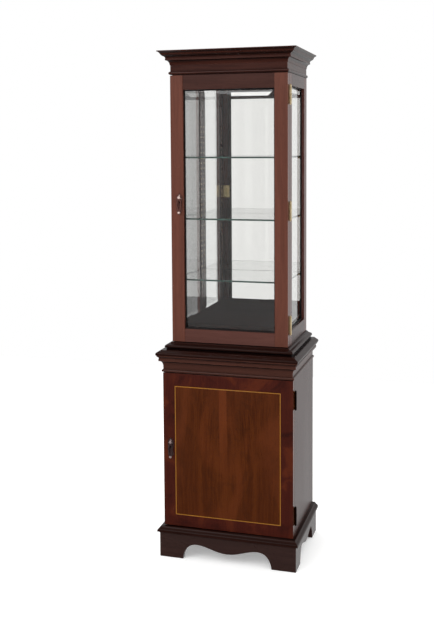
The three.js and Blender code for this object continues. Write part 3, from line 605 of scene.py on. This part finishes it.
# Glazing beads behind the door pane and inside the side panes.
pane_low, pane_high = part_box("door_glass")
stile_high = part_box("door_left_stile")[1]
rebate = 8 * MM
gap = 0.2 * MM
bead_width = rebate - 0.6 * MM
bead_back = stile_high.y - gap - pane_high.y
mesh = frame_ring("door_glazing_bead", bead_section(bead_width, bead_back),
                  (pane_low.x + gap, pane_high.x - gap), (pane_low.z + gap, pane_high.z - gap),
                  lambda u, v, d: (u, pane_high.y + gap + d, v))
add("door_glazing_bead", mesh, mat_rail, "upper_door")

side_low, side_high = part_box("right_glass")
post_low, post_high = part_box("front_right_post")
side_bead = side_low.x - post_low.x - 2 * gap
for side, name in ((1, "right_glazing_bead"), (-1, "left_glazing_bead")):
    mesh = frame_ring(name, bead_section(bead_width, side_bead),
                      (side_low.y + gap, side_high.y - gap), (side_low.z + gap, side_high.z - gap),
                      lambda u, v, d, s=side: (s * (side_low.x - gap - d), u, v))
    add(name, mesh, mat_side_rail, "cabinet")


# A dark seal in front of each pane, fitted to the slope of its bevel.
door_seal_width = 4.2 * MM
side_seal_width = 2.6 * MM
seal_depth = 2.6 * MM
seal_lip = 0.8 * MM
seal_lip_width = 0.6 * MM
door_bevel = (33 * MM, 3 * MM)
side_bevel = (30 * MM, 2.4 * MM)
into_rebate = rebate - 0.5 * MM


def seal_section(width, bevel):
    """The back follows a bevel, given as its width and its depth, and stands clear of it."""
    slope = bevel[1] / bevel[0]
    back = -gap - (bevel[1] - slope * into_rebate)
    return [(0.0, back), (width, back + slope * width), (width, seal_depth),
            (seal_lip_width, seal_depth + seal_lip), (0.0, seal_depth + seal_lip)]


inset = into_rebate + gap
mesh = frame_ring("door_glazing_seal", seal_section(door_seal_width, door_bevel),
                  (pane_low.x + inset, pane_high.x - inset),
                  (pane_low.z + inset, pane_high.z - inset),
                  lambda u, v, d: (u, pane_low.y - d, v))
add("door_glazing_seal", mesh, mat_seal, "upper_door", smooth=False)
for side, name in ((1, "right_glazing_seal"), (-1, "left_glazing_seal")):
    mesh = frame_ring(name, seal_section(side_seal_width, side_bevel),
                      (side_low.y + inset, side_high.y - inset),
                      (side_low.z + inset, side_high.z - inset),
                      lambda u, v, d, s=side: (s * (side_high.x + d), u, v))
    add(name, mesh, mat_seal, "cabinet", smooth=False)

# Shelf pins and the brass-sleeved holes that they stand in, one column on each post.
shelves = sorted((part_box(n) for n in nodes if n.startswith("glass_shelf")), key=lambda b: b[0].z)
holes_per_shelf = 11
hole_rows = range(-3, 29)
pitch = (shelves[1][0].z - shelves[0][0].z) / holes_per_shelf
pin_radius = 2.4 * MM
sleeve_profile = in_mm((-0.1, 3.3), (0.25, 3.1), (0.3, 2.5), (-0.15, 2.3))
pin_profile = in_mm((0.0, 2.2), (0.4, 4.2), (1.2, 4.4), (1.5, 3.9), (1.7, 2.2), (8.2, 2.2),
                    (9.0, 1.6), (9.2, 0.5))
wall = post_low.x
front_y = post_high.y - 12 * MM
back_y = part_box("back_right_post")[0].y + 10 * MM
for side, label in ((-1, "left"), (1, "right")):
    sleeves = bmesh.new()
    pins = bmesh.new()
    for y in (front_y, back_y):
        for i in hole_rows:
            z = shelves[0][0].z - pin_radius + i * pitch
            lathe(sleeves, sleeve_profile, (side * wall, y, z), (-side, 0, 0), 14, False)
        for low, high in shelves:
            z = low.z - pin_radius - 0.1 * MM
            lathe(pins, pin_profile, (side * wall, y, z), (-side, 0, 0), 16)
    add(f"{label}_shelf_sleeves", finish_mesh(sleeves, "sleeves"), mat_hinge, "cabinet")
    add(f"{label}_shelf_pins", finish_mesh(pins, "pins"), mat_brass, "cabinet")


# Countersunk screws in the hinge leaves, and on the lock cases.
def screw_head(bm, origin, axis, radius):
    """A domed head facing along a horizontal axis, with an upright bar across it for the slot."""
    lathe(bm, [(-0.3 * MM, radius), (0.05 * MM, radius), (0.3 * MM, radius * 0.72),
               (0.36 * MM, radius * 0.2)], origin, axis, 16)
    across = Vector((0, 0, 1))
    normal = Vector(axis)
    centre = Vector(origin) + normal * 0.38 * MM
    half_long = across * radius * 0.85
    half_wide = normal.cross(across) * radius * 0.12
    corners = [centre + half_long + half_wide, centre - half_long + half_wide,
               centre - half_long - half_wide, centre + half_long - half_wide]
    low = [bm.verts.new(c - normal * 0.3 * MM) for c in corners]
    high = [bm.verts.new(c) for c in corners]
    bm.faces.new(high)
    for i in range(4):
        j = (i + 1) % 4
        bm.faces.new((low[i], low[j], high[j], high[i]))


barrel_radius = 4 * MM
leaf_half_gap = 0.15 * MM
screw_from_axis = 12.5 * MM
screw_sunk = 0.37 * MM
screw_spacing = 24 * MM
leaf_screw_radius = 2.9 * MM
lock_screw_radius = 2.2 * MM
for cad_name in sorted(n for n in nodes if n.endswith("_leaf")):
    low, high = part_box(cad_name)
    is_frame = cad_name.endswith("frame_leaf")
    middle = 0.5 * (low.z + high.z)
    axis_x = high.x - barrel_radius
    axis_y = 0.5 * (low.y + high.y)
    outwards = -1 if is_frame else 1
    face_y = axis_y - outwards * leaf_half_gap
    bm = bmesh.new()
    for step in (-1, 0, 1):
        screw_head(bm, (axis_x - screw_from_axis, face_y - outwards * screw_sunk,
                        middle + step * screw_spacing), (0, outwards, 0), leaf_screw_radius)
    door = "upper_door" if cad_name.startswith("upper") else "lower_door"
    add(cad_name.replace("leaf", "screws"), finish_mesh(bm, "screws"), by_node[cad_name],
        "cabinet" if is_frame else door)

for door in ("upper", "lower"):
    low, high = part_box(f"{door}_lock_case")
    bm = bmesh.new()
    for across, above in in_mm((19.5, 5), (21, 45)):
        screw_head(bm, (low.x + across, high.y, low.z + above), (0, 1, 0), lock_screw_radius)
    add(f"{door}_lock_screws", finish_mesh(bm, "screws"), mat_brass, f"{door}_door")

# Each keyhole is darkened with painted shade: a dark tube through the wood and a thin dark sheet on
# the face below it, where the bit of the key goes.
key_below_tip = 34 * MM
keyhole_radius = 2.65 * MM
shade_bore = 0.85 * keyhole_radius
slot_length = 11 * MM
slot_depth = 0.1 * MM
for door in ("upper", "lower"):
    low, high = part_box(f"{door}_handle_plate")
    wood_low, wood_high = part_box("door_left_stile" if door == "upper" else "cupboard_door")
    x, z = 0.5 * (low.x + high.x), high.z - key_below_tip
    depth = wood_high.y - wood_low.y
    bm = bmesh.new()
    lathe(bm, [(0.0, keyhole_radius), (depth, keyhole_radius), (depth, shade_bore),
               (0.0, shade_bore), (0.0, keyhole_radius)],
          (x, wood_low.y, z), (0, 1, 0), 20, False)
    slot = bmesh.ops.create_cube(bm, size=1.0)["verts"]
    bmesh.ops.scale(bm, verts=slot, vec=(1.1 * keyhole_radius, slot_depth, slot_length - 2 * MM))
    bmesh.ops.translate(bm, verts=slot,
                        vec=(x, wood_low.y - slot_depth, z - 0.5 * slot_length - MM))
    bmesh.ops.remove_doubles(bm, verts=bm.verts, dist=1e-7)
    add(f"{door}_keyhole_shade", finish_mesh(bm, "shade_piece"), mat_seal, f"{door}_door")

# Small panel pins down both sides of the back boards.
panel_pin = in_mm((-0.2, 1.6), (0.2, 1.4), (0.35, 0.6))
panel_pin_spacing = 120 * MM
from_top_and_bottom = 8 * MM
from_side = 7 * MM
for cad_name in ("upper_back_board", "lower_back_board"):
    low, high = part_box(cad_name)
    bm = bmesh.new()
    rows = int((high.z - low.z) / panel_pin_spacing)
    reach = high.z - low.z - 2 * from_top_and_bottom
    for i in range(rows + 1):
        z = low.z + from_top_and_bottom + reach * i / rows
        for x in (low.x + from_side, high.x - from_side):
            lathe(bm, panel_pin, (x, high.y, z), (0, 1, 0), 10)
    add(cad_name.replace("board", "pins"), finish_mesh(bm, "pins"), mat_hinge, "cabinet")


# ---------------------------------------------------------------- studio
def quad(name, centre, size):
    mesh = bpy.data.meshes.new(name)
    x, y, z = centre
    w, d = size[0] / 2, size[1] / 2
    mesh.from_pydata([(x - w, y - d, z), (x + w, y - d, z), (x + w, y + d, z), (x - w, y + d, z)],
                     [], [(0, 1, 2, 3)])
    made = bpy.data.objects.new(name, mesh)
    scene.collection.objects.link(made)
    return made


FLOOR_GLOW = 0.3
FLOOR_CENTRE = (0, -0.5, -0.0002)
FLOOR_SIZE = (7, 6)
KEY_PLACE = (-1.6, -3.4, 3.5)
KEY_TARGET = (0, 0, 0.9)
KEY_SIZE = (2.4, 2.0)
KEY_POWER = 48

floor_material = bpy.data.materials.new("studio_floor")
t = Tree(floor_material)
t.principled(None, Base_Color=(0.93, 0.93, 0.925), Roughness=0.6, Specular_IOR_Level=0.1,
             Emission_Color=(1.0, 1.0, 1.0), Emission_Strength=FLOOR_GLOW)
floor = quad("floor", FLOOR_CENTRE, FLOOR_SIZE)
floor.data.materials.append(floor_material)
floor.visible_glossy = False
world = bpy.data.worlds.new("studio")
scene.world = world
t = Tree(world)
to_right, to_back, up = t.split(t.node("ShaderNodeTexCoord").outputs["Generated"])

# What polish and glass reflect: a dim room in front of the cabinet and a pale wall behind it.
BAND_LIGHT = 0.13
LEAST_LIGHT = 0.015
WALL_LIGHT = 0.72
ahead = t.smooth(to_back, -0.35, 0.1)
band = t.math("MULTIPLY", t.smooth(up, -0.3, -0.2), t.smooth(up, 0.1, 0.5, 1.0, 0.35))
front = t.math("MAXIMUM", t.math("MULTIPLY", band, BAND_LIGHT), LEAST_LIGHT)
glossy_light = t.math("ADD", t.math("MULTIPLY", front, t.math("SUBTRACT", 1.0, ahead)),
                      t.math("MULTIPLY", ahead, WALL_LIGHT))
path = t.node("ShaderNodeLightPath")
reflecting = t.math("MULTIPLY", path.outputs["Is Glossy Ray"],
                    t.math("SUBTRACT", 1.0, path.outputs["Is Transmission Ray"]))
not_mirror = t.math("SUBTRACT", 1.0, path.outputs["Is Singular Ray"])
reflecting = t.math("MULTIPLY", reflecting, not_mirror)

# What is seen directly, through glass and in the mirror is white. Diffuse light is a little more.
DIFFUSE_GAIN = 0.2
MIRRORED_AGAIN_LOSS = 0.1
mirrored_again = t.math("GREATER_THAN", path.outputs["Glossy Depth"], 1.5)
diffuse = path.outputs["Is Diffuse Ray"]
strength = t.math("ADD", 1.0, t.math("MULTIPLY", diffuse, DIFFUSE_GAIN))
strength = t.math("SUBTRACT", strength, t.math("MULTIPLY", mirrored_again, MIRRORED_AGAIN_LOSS))

# A grey card behind the cabinet on its left, which shows through two panes and no fewer. Each
# pane counts two surfaces.
CARD_DARKNESS = 0.75
SURFACES_OF_TWO_PANES = 3.5
card_right_edge = t.smooth(to_right, -0.2, -0.12, 1.0, 0.0)
card_left_edge = t.smooth(to_right, -0.55, -0.4)
card = t.math("MULTIPLY", t.smooth(to_back, 0.2, 0.6),
              t.math("MULTIPLY", card_right_edge, card_left_edge))
two_panes = t.math("GREATER_THAN", path.outputs["Transmission Depth"], SURFACES_OF_TWO_PANES)
through = t.math("MULTIPLY", path.outputs["Is Transmission Ray"], two_panes)
shaded = t.math("MULTIPLY", t.math("MULTIPLY", through, card), CARD_DARKNESS)
strength = t.math("MULTIPLY", strength, t.math("SUBTRACT", 1.0, shaded))
strength = t.math("ADD", t.math("MULTIPLY", strength, t.math("SUBTRACT", 1.0, reflecting)),
                  t.math("MULTIPLY", glossy_light, reflecting))
background = t.node("ShaderNodeBackground")
background.inputs["Color"].default_value = (1.0, 1.0, 1.0, 1.0)
t.link(strength, background.inputs["Strength"])
output = t.node("ShaderNodeOutputWorld")
t.link(background.outputs[0], output.inputs[0])


def softbox(name, place, target, size, power):
    lamp = bpy.data.lights.new(name, "AREA")
    lamp.shape = "RECTANGLE"
    lamp.size, lamp.size_y = size
    lamp.energy = power
    made = bpy.data.objects.new(name, lamp)
    made.location = place
    made.rotation_euler = (Vector(target) - Vector(place)).to_track_quat("-Z", "Y").to_euler()
    scene.collection.objects.link(made)


softbox("key", KEY_PLACE, KEY_TARGET, KEY_SIZE, KEY_POWER)

scene.view_settings.view_transform = "Standard"
scene.view_settings.look = "None"

# ---------------------------------------------------------------- camera
CAMERA_PLACE = (0.8966, -3.2044, 1.4908)
YAW_PITCH_ROLL_DEGREES = (16.223, 4.367, -0.303)
SENSOR_MM = 36
LENS_MM = 52.94
SHIFT = (-0.0202, -0.1502)

camera_data = bpy.data.cameras.new("camera")
camera_data.sensor_width = SENSOR_MM
camera_data.lens = LENS_MM
camera_data.shift_x, camera_data.shift_y = SHIFT
camera = bpy.data.objects.new("camera", camera_data)
scene.collection.objects.link(camera)
yaw, pitch, roll = (math.radians(a) for a in YAW_PITCH_ROLL_DEGREES)
camera.matrix_world = (Matrix.Translation(CAMERA_PLACE)
                       @ Matrix.Rotation(yaw, 4, "Z")
                       @ Matrix.Rotation(math.pi / 2 - pitch, 4, "X")
                       @ Matrix.Rotation(roll, 4, "Z"))
scene.camera = camera
